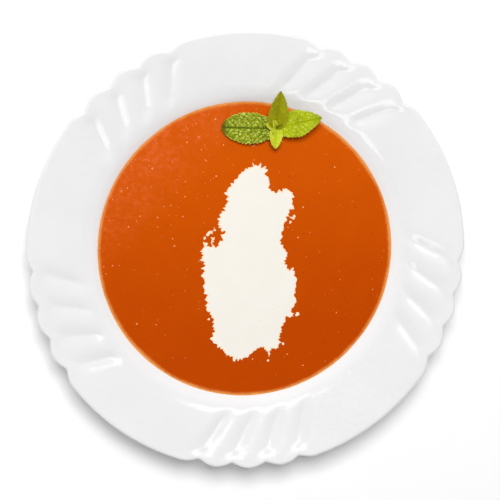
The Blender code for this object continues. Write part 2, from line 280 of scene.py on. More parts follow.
class SoupStageProperties(bpy.types.PropertyGroup):
    """Camera, lights and floor."""

    lens: amount("Lens", "Focal length in mm", 111.4)
    tilt: angle("Tilt", "How far the camera stands off the upright", 10.4)
    azimuth: angle("Azimuth", "Side of the plate that the camera stands over", 136)
    distance: size("Distance", "From the camera to the plate", 0.8)
    aim_x: size("Aim X", "What the middle of the picture shows", 2.0 * MM)
    aim_y: size("Aim Y", "What the middle of the picture shows, down from the middle", 0.0)
    glint: amount("Glint", "Power of the soft boxes that glint in the glaze", 1.55)
    far_glint: angle("Far glint", "Direction of the soft box over the far side, from +X", 78)
    far_height: angle("Far glint height", "Height of that soft box over the table", 64)
    near_glint: angle("Near glint", "Direction of the soft box over the near side, from +X", 255)
    near_height: angle("Near glint height", "Height of that soft box over the table", 55)
    top: amount("Top light", "Power of the panel high over the plate", 12.9)
    top_azimuth: angle("Top light direction", "Direction of the panel from +X", 105)
    top_height: angle("Top light height", "Height of the panel over the table", 71)
    sky: amount("Sky", "Strength of the light from all round", 0.57)
    glow: amount("Glow", "Light that the floor gives off", 0.01)


# Modelling helpers


def clear_selection():
    if bpy.context.mode != "OBJECT":
        bpy.ops.object.mode_set(mode="OBJECT")
    bpy.ops.object.select_all(action="DESELECT")


def name_piece(name):
    made = bpy.context.object
    made.name = name
    made.data.name = name
    return made


def begin_line(name, start):
    """A new object at the origin, left in edit mode, that holds one point."""
    clear_selection()
    bpy.ops.mesh.primitive_plane_add(size=MM)
    made = name_piece(name)
    bpy.ops.object.mode_set(mode="EDIT")
    bpy.ops.mesh.select_mode(type="VERT")
    bpy.ops.mesh.merge(type="CENTER")
    bpy.ops.transform.translate(value=start)
    return made


def turned_piece(name, section, steps):
    """A section of (radius, height) points, extruded point by point and spun round the axis."""
    points = [Vector((radius, 0, height)) for radius, height in section]
    made = begin_line(name, points[0])
    for before, after in zip(points, points[1:]):
        bpy.ops.mesh.extrude_region_move(TRANSFORM_OT_translate={"value": after - before})
    bpy.ops.mesh.select_all(action="SELECT")
    bpy.ops.mesh.spin(steps=steps, angle=math.tau, center=(0, 0, 0), axis=(0, 0, 1))
    bpy.ops.mesh.select_all(action="SELECT")
    bpy.ops.mesh.remove_doubles(threshold=0.002 * MM)
    bpy.ops.mesh.normals_make_consistent(inside=False)
    bpy.ops.object.mode_set(mode="OBJECT")
    return made


def apply_modifier(piece, kind, **settings):
    modifier = piece.modifiers.new(kind.title(), kind)
    for key, value in settings.items():
        setattr(modifier, key, value)
    bpy.ops.object.modifier_apply(modifier=modifier.name)


def settle(piece, node, material):
    """Smooths a finished piece, gives it its finish in its slot and its body, and hides the model's node
    that it stands for.
    """
    clear_selection()
    piece.select_set(True)
    bpy.context.view_layer.objects.active = piece
    bpy.ops.object.transform_apply(location=True, rotation=True, scale=True)
    bpy.ops.object.shade_smooth()
    piece.data.materials.clear()
    piece.data.materials.append(material)
    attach(piece, BODY)
    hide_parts(node)


def ease(value, start, end):
    """0 before start, 1 after end, and smooth between them."""
    part = min(1.0, max(0.0, (value - start) / (end - start)))
    return part * part * (3 - 2 * part)


def bend(middle, radius, first_slope, last_slope, steps, side):
    """Points of a bend, by the slope there. Side 1 is a hollow bend and -1 a round one."""
    points = []
    for i in range(steps + 1):
        slope = first_slope + (last_slope - first_slope) * i / steps
        across = middle[0] + side * radius * math.sin(slope)
        up = middle[1] - side * radius * math.cos(slope)
        points.append((across, up))
    return points


def swell(point, period, layer):
    """Smooth noise over the plan, from about -1 to 1. The period is in mm, and each layer differs."""
    return noise.noise(Vector((point.x / (period * MM), point.y / (period * MM), layer)))


def spread(first, last, steps):
    return [first + (last - first) * i / steps for i in range(steps + 1)]


# Node helpers


def begin_material(name, **sockets):
    """A new material, and its tree and shader. The sockets are plain values of the shader."""
    made = bpy.data.materials.new(name)
    made.use_nodes = True
    shader = made.node_tree.nodes["Principled BSDF"]
    for key, value in sockets.items():
        shader.inputs[key.replace("_", " ")].default_value = value
    return made, made.node_tree, shader


def add(tree, kind, inputs=None, **settings):
    """A node with its settings, and with its inputs set or linked."""
    node = tree.nodes.new(kind)
    for key, value in settings.items():
        setattr(node, key, value)
    for key, value in (inputs or {}).items():
        if isinstance(value, bpy.types.NodeSocket):
            tree.links.new(value, node.inputs[key])
        else:
            node.inputs[key].default_value = value
    return node


def axes_of(tree, place):
    """X, Y and Z of a place, by name."""
    return add(tree, "ShaderNodeSeparateXYZ", {"Vector": place}).outputs


def from_axis(tree, place):
    """Distance of a place from the plate's axis."""
    flat = add(tree, "ShaderNodeVectorMath", {0: place, 1: (1, 1, 0)}, operation="MULTIPLY").outputs[0]
    return add(tree, "ShaderNodeVectorMath", {0: flat}, operation="LENGTH").outputs["Value"]


def calculate(tree, operation, first, second=0.0, clamp=False):
    node = add(tree, "ShaderNodeMath", {0: first, 1: second}, operation=operation, use_clamp=clamp)
    return node.outputs[0]


def stretch(tree, value, low, high, new_low=0.0, new_high=1.0):
    """The value between low and high, made smooth and spread over the new range."""
    inputs = {"Value": value, "From Min": low, "From Max": high, "To Min": new_low, "To Max": new_high}
    return add(tree, "ShaderNodeMapRange", inputs, interpolation_type="SMOOTHSTEP").outputs["Result"]


def blend_colour(tree, factor, first, second):
    node = add(tree, "ShaderNodeMix", {"Factor": factor}, data_type="RGBA")
    for socket, value in ((node.inputs[6], first), (node.inputs[7], second)):
        if isinstance(value, bpy.types.NodeSocket):
            tree.links.new(value, socket)
        else:
            socket.default_value = value
    return node.outputs[2]


def add_relief(tree, shader, height, distance):
    """Lets a height shape the shader's normal."""
    bump = add(tree, "ShaderNodeBump", {"Height": height, "Distance": distance, "Strength": 1.0})
    tree.links.new(bump.outputs["Normal"], shader.inputs["Normal"])


def begin_group(name, inputs, output):
    """A new shader node group of a place and some numbers, which puts out one number."""
    tree = bpy.data.node_groups.new(name, "ShaderNodeTree")
    tree.interface.new_socket("Place", in_out="INPUT", socket_type="NodeSocketVector")
    for label, value in inputs.items():
        socket = tree.interface.new_socket(label, in_out="INPUT", socket_type="NodeSocketFloat")
        socket.default_value = value
    tree.interface.new_socket(output, in_out="OUTPUT", socket_type="NodeSocketFloat")
    return tree


def grain_group(name):
    """Uneven surface: a coarse and a fine noise, whose sizes are in metres."""
    inputs = {"Coarse": 0.010, "Fine": 0.001, "Fine Share": 0.3}
    tree = begin_group(name, inputs, "Grain")
    given = add(tree, "NodeGroupInput").outputs
    parts = []
    for label in ("Coarse", "Fine"):
        scale = calculate(tree, "DIVIDE", 1.0, given[label])
        wave = {"Vector": given["Place"], "Scale": scale, "Detail": 3.0, "Roughness": 0.55}
        parts.append(add(tree, "ShaderNodeTexNoise", wave).outputs["Fac"])
    mixed = add(tree, "ShaderNodeMix", {"Factor": given["Fine Share"], "A": parts[0], "B": parts[1]})
    add(tree, "NodeGroupOutput", {"Grain": mixed.outputs["Result"]})


def fleck_group(name):
    """Scattered round flecks: cells of one spacing, some of which hold a fleck."""
    inputs = {"Spacing": 0.005, "Size": 0.1, "Missing": 0.5}
    tree = begin_group(name, inputs, "Fleck")
    given = add(tree, "NodeGroupInput").outputs
    scale = calculate(tree, "DIVIDE", 1.0, given["Spacing"])
    cells = add(tree, "ShaderNodeTexVoronoi", {"Vector": given["Place"], "Scale": scale})
    chance = add(tree, "ShaderNodeSeparateColor", {"Color": cells.outputs["Color"]}).outputs["Red"]
    there = calculate(tree, "GREATER_THAN", chance, given["Missing"])
    edge = calculate(tree, "MULTIPLY", given["Size"], chance)
    near = calculate(tree, "DIVIDE", cells.outputs["Distance"], edge)
    round_fleck = stretch(tree, near, 0.5, 1.0, 1.0, 0.0)
    add(tree, "NodeGroupOutput", {"Fleck": calculate(tree, "MULTIPLY", round_fleck, there)})


GROUPS = {"Surface Grain": grain_group, "Flecks": fleck_group}


def place_group(tree, name, **inputs):
    """A group in a material, made when it is first used. Its sockets are named with underscores."""
    if name not in bpy.data.node_groups:
        GROUPS[name](name)
    node = tree.nodes.new("ShaderNodeGroup")
    node.node_tree = bpy.data.node_groups[name]
    for key, value in inputs.items():
        socket = node.inputs[key.replace("_", " ")]
        if isinstance(value, bpy.types.NodeSocket):
            tree.links.new(value, socket)
        else:
            socket.default_value = value
    return node.outputs[0]


def begin_surface(name, coarse, fine, fine_share, **sockets):
    """A material with the piece's own coordinates and a grain, whose sizes are in metres."""
    made, tree, shader = begin_material(name, **sockets)
    place = add(tree, "ShaderNodeTexCoord").outputs["Object"]
    grain = place_group(tree, "Surface Grain", Place=place, Coarse=coarse, Fine=fine, Fine_Share=fine_share)
    return made, tree, shader, place, grain


def finish_surface(tree, shader, grain, base, gloss, relief):
    """Sets the base colour, a roughness between two values and a relief, whose height is in metres."""
    tree.links.new(base, shader.inputs["Base Color"])
    tree.links.new(stretch(tree, grain, *GRAIN_RANGE, *gloss), shader.inputs["Roughness"])
    add_relief(tree, shader, grain, relief)


# Plate


def well_middle(plate):
    return (plate.floor_radius, plate.floor_top + plate.well_bend)


def brim_middle(plate):
    """Middle of the brim's bend, which the straight wall runs into."""
    foot = bend(well_middle(plate), plate.well_bend, plate.wall_slope, plate.wall_slope, 1, 1)[0]
    height = foot[1] + (plate.brim_radius - foot[0]) * math.tan(plate.wall_slope)
    return (
        plate.brim_radius + plate.brim_bend * math.sin(plate.wall_slope),
        height - plate.brim_bend * math.cos(plate.wall_slope),
    )


def rim_height(plate, radius, depth):
    """Height of the rim's straight stretch at a radius, depth below its upper face."""
    slope = plate.rim_slope
    start = bend(brim_middle(plate), plate.brim_bend, slope, slope, 1, -1)[0]
    return start[1] + (radius - start[0]) * math.tan(slope) - depth / math.cos(slope)


def wall_radius(plate, height):
    """Radius of the well at a height on the brim's bend."""
    middle = brim_middle(plate)
    return middle[0] - math.sqrt(plate.brim_bend**2 - (height - middle[1]) ** 2)


def plate_section(plate):
    """The plate's section from the middle of its floor, over the edge, to the middle below."""
    floor = [(radius, plate.floor_top) for radius in spread(0, plate.floor_radius, 4)[:-1]]
    well = bend(well_middle(plate), plate.well_bend, 0, plate.wall_slope, 8, 1)
    brim = bend(brim_middle(plate), plate.brim_bend, plate.wall_slope, plate.rim_slope, 14, -1)
    edge_radius = plate.rim / 2
    edge_middle = plate.radius - edge_radius
    top = [
        (radius, rim_height(plate, radius, 0))
        for radius in spread(brim[-1][0] + 1.0 * MM, edge_middle - 0.6 * MM, 22)
    ]
    round_middle = (edge_middle, rim_height(plate, edge_middle, plate.rim / 2))
    edge = [
        (round_middle[0] + edge_radius * math.cos(a), round_middle[1] + edge_radius * math.sin(a))
        for a in spread(math.pi / 2 + plate.rim_slope, -math.pi / 2 + plate.rim_slope, 10)
    ]
    below = [
        (radius, rim_height(plate, radius, plate.rim))
        for radius in spread(edge_middle - 1.5 * MM, plate.groove_full, 10)
    ]
    thick_brim = plate.brim_bend - plate.wall
    under_brim = bend(brim_middle(plate), thick_brim, plate.rim_slope, plate.wall_slope, 8, -1)
    thick_well = plate.well_bend + plate.wall
    outside = bend(well_middle(plate), thick_well, plate.wall_slope, math.radians(20), 6, 1)
    foot = [
        (plate.foot_outer + 1.9 * MM, 1.3 * MM),
        (plate.foot_outer + 0.8 * MM, 0.4 * MM),
        (plate.foot_outer, 0.0),
        (plate.foot_inner, 0.0),
        (plate.foot_inner - 0.7 * MM, 0.4 * MM),
        (plate.foot_inner - 1.3 * MM, plate.underside),
        (plate.foot_inner * 0.6, plate.underside),
        (0.0, plate.underside),
    ]
    return floor + well + brim[1:] + top + edge + below + under_brim + outside[1:] + foot


def groove_share(plate, direction):
    """1 at the bottom of a groove, 0 on the ridges and on the plain arcs between the groups."""
    offsets = [
        (direction - math.radians(middle) + math.pi) % math.tau - math.pi for middle in GROUP_DIRECTIONS
    ]
    from_group = min(offsets, key=abs)
    half = (plate.grooves - 1) / 2
    nearest = round(from_group / plate.groove_step + half)
    nearest = min(plate.grooves - 1, max(0, nearest))
    away = abs(from_group - (nearest - half) * plate.groove_step)
    part = min(1.0, away / (plate.groove_step / 2))
    rise = math.hypot(math.sin(part * math.pi / 2), plate.groove_softness)
    full = math.hypot(1, plate.groove_softness)
    return (full - rise) / (full - plate.groove_softness)


def fluted(plate, point):
    """A point of the plain plate, pressed down in the grooves and drawn in at the notches."""
    radius = math.hypot(point.x, point.y)
    if radius < plate.groove_start:
        return point
    direction = math.atan2(point.y, point.x)
    part = groove_share(plate, direction)
    inwards = (plate.radius - radius) / (plate.radius - plate.groove_start)
    turned = direction + plate.swirl * inwards**SWIRL_POWER
    shallow = FADED * ease(radius, plate.radius - FADE_START, plate.radius - FADE_END)
    press = ease(radius, plate.groove_start, plate.groove_full) * (1 - shallow)
    drawn_in = radius - plate.notch_depth * part * ease(radius, plate.radius - NOTCH_REACH, plate.radius)
    height = point.z - plate.groove_depth * part * press
    return Vector((drawn_in * math.cos(turned), drawn_in * math.sin(turned), height))


def glaze_material(plate):
    """White glaze: faintly uneven in height, tone and gloss, painted lighter in the well as painted light
    on its shaded wall, and a little duller on the foot.
    """
    made, tree, shader, place, grain = begin_surface(
        "White glaze", 0.028, 0.004, 0.25, IOR=1.5, Coat_Weight=0.3, Coat_Roughness=0.05
    )
    tone = stretch(tree, grain, *GRAIN_RANGE, 0.97, 1.0)
    radius = from_axis(tree, place)
    # Painted light: the glaze in the well is lighter, to lift the shade on its wall.
    well = stretch(tree, radius, plate.brim_radius, plate.groove_start + 4 * MM, 1.0, 0.0)
    painted_light_well = blend_colour(tree, well, plate.glaze, plate.well_glaze_painted_light)
    white = blend_colour(tree, tone, (0.0, 0.0, 0.0, 1), painted_light_well)
    pits = place_group(tree, "Flecks", Place=place, Spacing=0.009, Size=0.03, Missing=0.75)
    white = blend_colour(tree, calculate(tree, "MULTIPLY", pits, 0.12), white, (0.42, 0.38, 0.33, 1))
    foot = stretch(tree, axes_of(tree, place)["Z"], 0.0003, 0.0010, 1.0, 0.0)
    worn = blend_colour(tree, calculate(tree, "MULTIPLY", foot, 0.35), white, (0.50, 0.48, 0.45, 1))
    tree.links.new(worn, shader.inputs["Base Color"])
    gloss = stretch(tree, grain, *GRAIN_RANGE, plate.roughness, plate.roughness + 0.05)
    dull = calculate(tree, "ADD", gloss, calculate(tree, "MULTIPLY", foot, 0.4))
    tree.links.new(dull, shader.inputs["Roughness"])
    add_relief(tree, shader, grain, 0.0005)
    return made


class SOUP_OT_plate(bpy.types.Operator):
    """Make the white plate with its fluted and notched rim"""

    bl_idname = "soup.plate"
    bl_label = "Soup plate"

    def execute(self, context):
        plate = context.scene.soup_plate
        made = turned_piece("soup_plate", plate_section(plate), plate.columns)
        for vertex in made.data.vertices:
            vertex.co = fluted(plate, vertex.co)
        settle(made, "plate", glaze_material(plate))
        return {"FINISHED"}


# Soup


def soup_section(plate, soup):
    """The soup's surface out to the wall, then down inside the wall to the middle of the floor."""
    brim = plate.brim_bend - soup.overlap
    contact = SOUP_LEVEL + soup.meniscus
    middle = brim_middle(plate)
    slope = math.acos((contact - middle[1]) / brim)
    side = bend(middle, brim, slope, plate.wall_slope, 6, -1)
    edge = side[0][0]
    top = []
    for radius in spread(0, edge - 6 * MM, 36) + spread(edge - 6 * MM, edge, 18)[1:-1]:
        rise = soup.meniscus * math.exp(-(edge - radius) / soup.meniscus_reach)
        top.append((radius, SOUP_LEVEL + rise))
    well = bend(well_middle(plate), plate.well_bend + soup.overlap, plate.wall_slope, 0, 8, 1)
    floor = plate.floor_top - soup.overlap
    return top + side + well + [(plate.floor_radius / 2, floor), (0, floor)]


def ripples(soup, point):
    """Height of the soup's slow and quick ripples."""
    return soup.ripple * (0.7 * swell(point, 14, 3.1) + 0.3 * swell(point, 4, 8.7))


def soup_material(plate, soup):
    """Smooth tomato puree: painted paler towards the light and darker away from it, specked, with a thin
    oily edge.
    """
    made, tree, shader, place, grain = begin_surface(
        "Tomato soup", 0.016, 0.0013, 0.35, IOR=1.36, Specular_IOR_Level=0.07
    )
    axes = axes_of(tree, place)
    # Painted light and shade: paler towards the light and darker away from it, with random unevenness
    # added.
    across = calculate(tree, "SUBTRACT", axes["Y"], calculate(tree, "MULTIPLY", axes["X"], 0.09))
    lit = stretch(tree, across, -0.060, 0.080)
    uneven = calculate(tree, "MULTIPLY", calculate(tree, "SUBTRACT", grain, 0.5), 0.7)
    tone = calculate(tree, "ADD", lit, uneven, clamp=True)
    puree = blend_colour(tree, tone, soup.painted_shade_soup, soup.painted_light)
    to_froth = calculate(tree, "SUBTRACT", axes["Y"], axes["X"])
    streaks = add(tree, "ShaderNodeTexNoise", {"Vector": place, "Scale": 420.0, "Detail": 2.0})
    froth = calculate(
        tree,
        "MULTIPLY",
        stretch(tree, to_froth, 0.055, 0.105),
        stretch(tree, calculate(tree, "ADD", grain, streaks.outputs["Fac"]), 0.86, 1.22, 0.15, 1.0),
    )
    puree = blend_colour(tree, froth, puree, soup.froth)
    pulp = place_group(tree, "Flecks", Place=place, Spacing=0.0035, Size=0.16, Missing=0.72)
    puree = blend_colour(tree, calculate(tree, "MULTIPLY", pulp, 0.22), puree, soup.foam)
    grit = place_group(tree, "Flecks", Place=place, Spacing=0.0061, Size=0.09, Missing=0.70)
    puree = blend_colour(tree, calculate(tree, "MULTIPLY", grit, 0.45), puree, soup.spice)
    wobble = calculate(tree, "MULTIPLY", calculate(tree, "SUBTRACT", grain, 0.5), 0.003)
    edge = wall_radius(plate, SOUP_LEVEL + soup.meniscus)
    out = calculate(tree, "ADD", from_axis(tree, place), wobble)
    oily = stretch(tree, out, edge - 2.4 * MM, edge + 0.2 * MM)
    rimmed = blend_colour(tree, oily, puree, soup.oil)
    finish_surface(tree, shader, grain, rimmed, gloss=(0.34, 0.22), relief=0.0009)
    return made


def dot_material(name, first, second, roughness):
    """A small bit of one colour that turns to a second one in patches."""
    made, tree, shader, _, grain = begin_surface(name, 0.004, 0.0006, 0.5, IOR=1.36)
    patches = blend_colour(tree, stretch(tree, grain, 0.35, 0.65), first, second)
    finish_surface(tree, shader, grain, patches, gloss=(roughness, roughness + 0.15), relief=0.0002)
    return made


class SOUP_OT_soup(bpy.types.Operator):
    """Fill the plate's well with soup that creeps up its wall"""

    bl_idname = "soup.soup"
    bl_label = "Tomato soup"

    def execute(self, context):
        plate = context.scene.soup_plate
        soup = context.scene.tomato_soup
        made = turned_piece("tomato_soup", soup_section(plate, soup), soup.columns)
        bed_depth = context.scene.cream_pool.thickness * 0.8
        for vertex in made.data.vertices:
            if vertex.co.z < SOUP_LEVEL - soup.overlap:
                continue
            vertex.co.z += ripples(soup, vertex.co)
            vertex.co.z -= bed_depth * ease(depth_in_pool(vertex.co), 1.0 * MM, 2.5 * MM)
        settle(made, "soup", soup_material(plate, soup))
        return {"FINISHED"}


def depth_in_pool(point):
    """How far a point lies inside the pool of cream's outline, and 0 outside it."""
    flat = Vector((point.x, point.y))
    inside = False
    nearest = math.inf
    for before, after in zip(POOL, POOL[1:] + POOL[:1]):
        if (before.y > flat.y) != (after.y > flat.y):
            crossing = before.x + (flat.y - before.y) * (after.x - before.x) / (after.y - before.y)
            inside = inside != (flat.x < crossing)
        foot, along = geometry.intersect_point_line(flat, before, after)
        foot = before.lerp(after, min(1.0, max(0.0, along)))
        nearest = min(nearest, (flat - foot.to_2d()).length)
    return nearest if inside else 0.0


def scatter(number, reach, keep, chance):
    """Places on the soup: number of them within reach of the axis, clear of the cream, each kept by the
    chance that keep gives.
    """
    places = []
    while len(places) < number:
        distance = reach * math.sqrt(chance.random())
        direction = chance.random() * math.tau
        place = Vector((distance * math.cos(direction), distance * math.sin(direction)))
        if depth_in_pool(place) == 0 and chance.random() < keep(place):
            places.append(place)
    return places


def copies_at(first, places, scale_of):
    """Copies of a small piece at places on the soup's surface, joined into one; the first piece is removed.
    """
    pieces = []
    for place in places:
        copy = first.copy()
        copy.data = first.data.copy()
        bpy.context.collection.objects.link(copy)
        copy.location = (place.x, place.y, SOUP_LEVEL)
        copy.scale = scale_of()
        copy.rotation_euler.z = place.x / MM
        pieces.append(copy)
    clear_selection()
    bpy.data.objects.remove(first)
    for piece in pieces:
        piece.select_set(True)
    bpy.context.view_layer.objects.active = pieces[0]
    bpy.ops.object.join()
    bpy.ops.object.transform_apply(location=True, rotation=True, scale=True)
    return bpy.context.object


class SOUP_OT_bubbles(bpy.types.Operator):
    """Scatter small bubbles, most of them on the far left of the soup"""

    bl_idname = "soup.bubbles"
    bl_label = "Bubbles"

    def execute(self, context):
        soup = context.scene.tomato_soup
        chance = random.Random(11)
        clear_selection()
        bpy.ops.mesh.primitive_uv_sphere_add(segments=10, ring_count=6, radius=MM)
        bubble = name_piece("soup_bubbles")
        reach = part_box("soup")[1].x - 1.5 * MM

        def keep(place):
            return 0.10 + 0.90 * ease(place.y - place.x, 0.030, 0.085)

        def bubble_scale():
            wide = 0.16 + 0.34 * chance.random() ** 2.5
            return (wide, wide, wide * 0.6)

        places = scatter(soup.bubbles, reach, keep, chance)
        made = copies_at(bubble, places, bubble_scale)
        made.name = "soup_bubbles"
        finish = dot_material("Soup bubble", soup.foam, soup.oil, 0.12)
        settle(made, "soup", finish)
        return {"FINISHED"}


class SOUP_OT_specks(bpy.types.Operator):
    """Scatter dark specks of spice on the soup"""

    bl_idname = "soup.specks"
    bl_label = "Specks"

    def execute(self, context):
        soup = context.scene.tomato_soup
        chance = random.Random(5)
        clear_selection()
        bpy.ops.mesh.primitive_ico_sphere_add(subdivisions=2, radius=MM)
        speck = name_piece("soup_specks")
        bpy.ops.object.mode_set(mode="EDIT")
        bpy.ops.mesh.select_all(action="SELECT")
        bpy.ops.transform.vertex_random(offset=0.25 * MM, seed=3)
        bpy.ops.object.mode_set(mode="OBJECT")
        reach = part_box("soup")[1].x - 3 * MM

        def speck_scale():
            return (0.20 + 0.25 * chance.random(), 0.16 + 0.12 * chance.random(), 0.10)

        places = scatter(soup.specks, reach, lambda place: 1.0, chance)
        made = copies_at(speck, places, speck_scale)
        made.name = "soup_specks"
        settle(made, "soup", dot_material("Spice", soup.spice, soup.painted_shade_soup, 0.5))
        return {"FINISHED"}


# Cream


def smooth_outline(corners, steps):
    """Points of a closed curve through the corners, by Catmull and Rom's formula."""
    points = []
    number = len(corners)
    for i in range(number):
        before, here, after, beyond = (corners[(i + k) % number] for k in (-1, 0, 1, 2))
        for step in range(steps):
            t = step / steps
            points.append(
                here
                + (after - before) * t / 2
                + (2 * before - 5 * here + 4 * after - beyond) * t**2 / 2
                + (3 * here - before - 3 * after + beyond) * t**3 / 2
            )
    return points


def frayed(outline, cream):
    """The outline moved in and out by scallops of about 3 mm and a finer fraying."""
    moved = []
    number = len(outline)
    for i, point in enumerate(outline):
        along = (outline[(i + 1) % number] - outline[i - 1]).normalized()
        outwards = Vector((-along.y, along.x))
        rough = 0.75 + 0.9 * swell(point, 9, 4.5)
        scallop = cream.scallop * swell(point, 1.7, 1.5)
        moved.append(point + outwards * (scallop + cream.fray * swell(point, 0.75, 7.5) * rough))
    return moved


def flat_slab(name, outlines, low, high):
    """A slab with several closed outlines, which may cross themselves where they are frayed."""
    points = []
    edges = []
    for outline in outlines:
        first = len(points)
        number = len(outline)
        edges += [(first + i, first + (i + 1) % number) for i in range(number)]
        points += outline
    corners, _, faces, *_ = geometry.delaunay_2d_cdt(points, edges, [], 1, MM / 1000)
    clear_selection()
    made = bpy.data.objects.new(name, bpy.data.meshes.new(name))
    made.data.from_pydata([(corner.x, corner.y, low) for corner in corners], [], faces)
    bpy.context.collection.objects.link(made)
    made.select_set(True)
    bpy.context.view_layer.objects.active = made
    bpy.ops.object.mode_set(mode="EDIT")
    bpy.ops.mesh.select_all(action="SELECT")
    bpy.ops.mesh.extrude_region_move(TRANSFORM_OT_translate={"value": (0, 0, high - low)})
    bpy.ops.mesh.select_all(action="SELECT")
    bpy.ops.mesh.normals_make_consistent(inside=False)
    bpy.ops.object.mode_set(mode="OBJECT")
    return made


def mark_rim(made, outlines):
    """Gives each point its distance from the nearest outline, for its colour."""
    points = [point for outline in outlines for point in outline]
    tree = kdtree.KDTree(len(points))
    for i, point in enumerate(points):
        tree.insert((point.x, point.y, 0), i)
    tree.balance()
    rim = made.data.attributes.new("rim", "FLOAT", "POINT")
    for vertex in made.data.vertices:
        rim.data[vertex.index].value = tree.find((vertex.co.x, vertex.co.y, 0))[2]


def cream_material(cream):
    """Whipping cream: nearly white, with painted shade in its hollows, tinted where soup mixes in."""
    made, tree, shader, place, grain = begin_surface(
        "Cream", 0.012, 0.0012, 0.25, IOR=1.45, Specular_IOR_Level=0.3
    )
    # Painted shade: darker where the grain, which also shapes the bumps, is low.
    tone = stretch(tree, grain, 0.25, 0.75, 0.25, 0.0)
    white = blend_colour(tree, tone, cream.cream, cream.shadow)
    height = axes_of(tree, place)["Z"]
    low = stretch(tree, height, SOUP_LEVEL - 0.05 * MM, CREAM_TOP - 0.13 * MM, 0.9, 0.0)
    sides = blend_colour(tree, low, white, cream.stain)
    rim = add(tree, "ShaderNodeAttribute", attribute_name="rim").outputs["Fac"]
    thin = stretch(tree, rim, 0.15 * MM, 0.75 * MM, 0.8, 0.0)
    stained = blend_colour(tree, thin, sides, cream.stain)
    finish_surface(tree, shader, grain, stained, gloss=(0.34, 0.46), relief=0.0003)
    return made


class SOUP_OT_cream(bpy.types.Operator):
    """Pour the ragged pool of cream, with the drops that came off it"""

    bl_idname = "soup.cream"
    bl_label = "Cream"

    def execute(self, context):
        cream = context.scene.cream_pool
        outlines = [frayed(smooth_outline(POOL, 16), cream)]
        for x, y, radius in CREAM_DROPS:
            turns = spread(0, -math.tau, 20)[:-1]
            ring = [Vector((x + radius * math.cos(a), y + radius * math.sin(a))) * MM for a in turns]
            outlines.append(frayed(ring, cream))
        made = flat_slab("cream_pool", outlines, CREAM_TOP - cream.thickness, CREAM_TOP)
        apply_modifier(made, "REMESH", mode="VOXEL", voxel_size=cream.voxel)
        apply_modifier(made, "SMOOTH", factor=0.5, iterations=3)
        pits = [Vector(point) * MM for point in CREAM_PITS]
        for vertex in made.data.vertices:
            if vertex.co.z < SOUP_LEVEL:
                continue
            flat = vertex.co.to_2d()
            slow = swell(vertex.co, 9, 2.2)
            dent = sum(math.exp(-(((flat - pit).length / (0.45 * MM)) ** 2)) for pit in pits)
            vertex.co.z += 0.05 * MM * (slow - 1) - 0.3 * MM * dent
        apply_modifier(made, "DECIMATE", ratio=0.6)
        mark_rim(made, outlines)
        settle(made, "cream", cream_material(cream))
        return {"FINISHED"}


# Mint


def leaf_half_width(along, sizes):
    """Half width of a leaf along its length, in mm. It is widest where the sine's angle is a right one."""
    if not 0 < along < 1:
        return 0.0
    towards_tip = math.log(0.5) / math.log(sizes["widest"])
    return sizes["width"] / 2 * math.sin(math.pi * along**towards_tip) ** sizes["point"]


def leaf_relief(along, across, vein_step):
    """Height of the wrinkles, from 0 in a vein to 1 between veins. Distances are in mm."""
    place = Vector((along, across, 0))
    warp = noise.noise_vector(place / 3.0) * 0.9
    curved = along + warp.x - abs(across) * 0.55 - across * across * 0.045
    from_vein = abs(curved / vein_step - round(curved / vein_step)) * vein_step
    side_puff = 1 - math.exp(-((from_vein / 0.34) ** 2))
    rib_puff = 1 - math.exp(-(((across + warp.y * 0.25) / 0.42) ** 2))
    nearest, second = noise.voronoi((place + warp) / 1.45)[0][:2]
    cell_puff = min(1.0, (second - nearest) / 0.42) ** 0.7
    lump = 0.82 + 0.5 * noise.noise(place / 0.8)
    return rib_puff * (0.45 + 0.55 * side_puff) * (0.25 + 0.75 * cell_puff) * lump


def shape_leaf(leaf, mint, sizes):
    """Moves a flat grid's points into a leaf: toothed, wrinkled, folded and bent."""
    length = sizes["length"]
    heading = math.radians(sizes["heading"])
    ahead = Vector((math.cos(heading), math.sin(heading), 0))
    side = Vector((-ahead.y, ahead.x, 0))
    up = Vector((0, 0, 1))
    spine = Vector((mint.node_x, mint.node_y, mint.node_z + sizes["lift"] * MM))
    spines = []
    for row in range(mint.rows + 1):
        pitch = math.radians(sizes["slope"] + sizes["bow"] * row / mint.rows)
        along = ahead * math.cos(pitch) + up * math.sin(pitch)
        over = up * math.cos(pitch) - ahead * math.sin(pitch)
        spines.append((spine, over))
        spine = spine + along * length * MM / mint.rows
    teeth = max(5, round(length / 1.9))
    marks = {name: leaf.data.attributes.new(name, "FLOAT", "POINT") for name in LEAF_MARKS}
    for vertex in leaf.data.vertices:
        u = vertex.co.x + 0.5
        v = vertex.co.y * 2
        middle, over = spines[round(u * mint.rows)]
        wave = noise.noise(Vector((u * length / 4, v * 2, length)))
        tooth = (u * teeth + 0.6 * wave) % 1.0
        toothed = 1 + (0.11 * (tooth - 0.5) + 0.06 * wave) * ease(abs(v), 0.5, 1.0)
        half = max(leaf_half_width(u, sizes), 0.7 * (1 - 0.8 * u))
        reach = v * half * toothed
        height = leaf_relief(u * length, reach, sizes["veins"])
        marks["relief"].data[vertex.index].value = height
        marks["rim"].data[vertex.index].value = (1 - abs(v)) * half
        marks["along"].data[vertex.index].value = u
        curl = 0.05 * half * abs(v) ** 3 - 0.25 * wave * abs(v)
        tilt = math.radians(sizes["lean"] + math.copysign(sizes["fold"], v))
        outward = side * math.cos(tilt) + over * math.sin(tilt)
        vertex.co = middle + outward * reach * MM + over * (height * sizes["wrinkle"] - curl) * MM


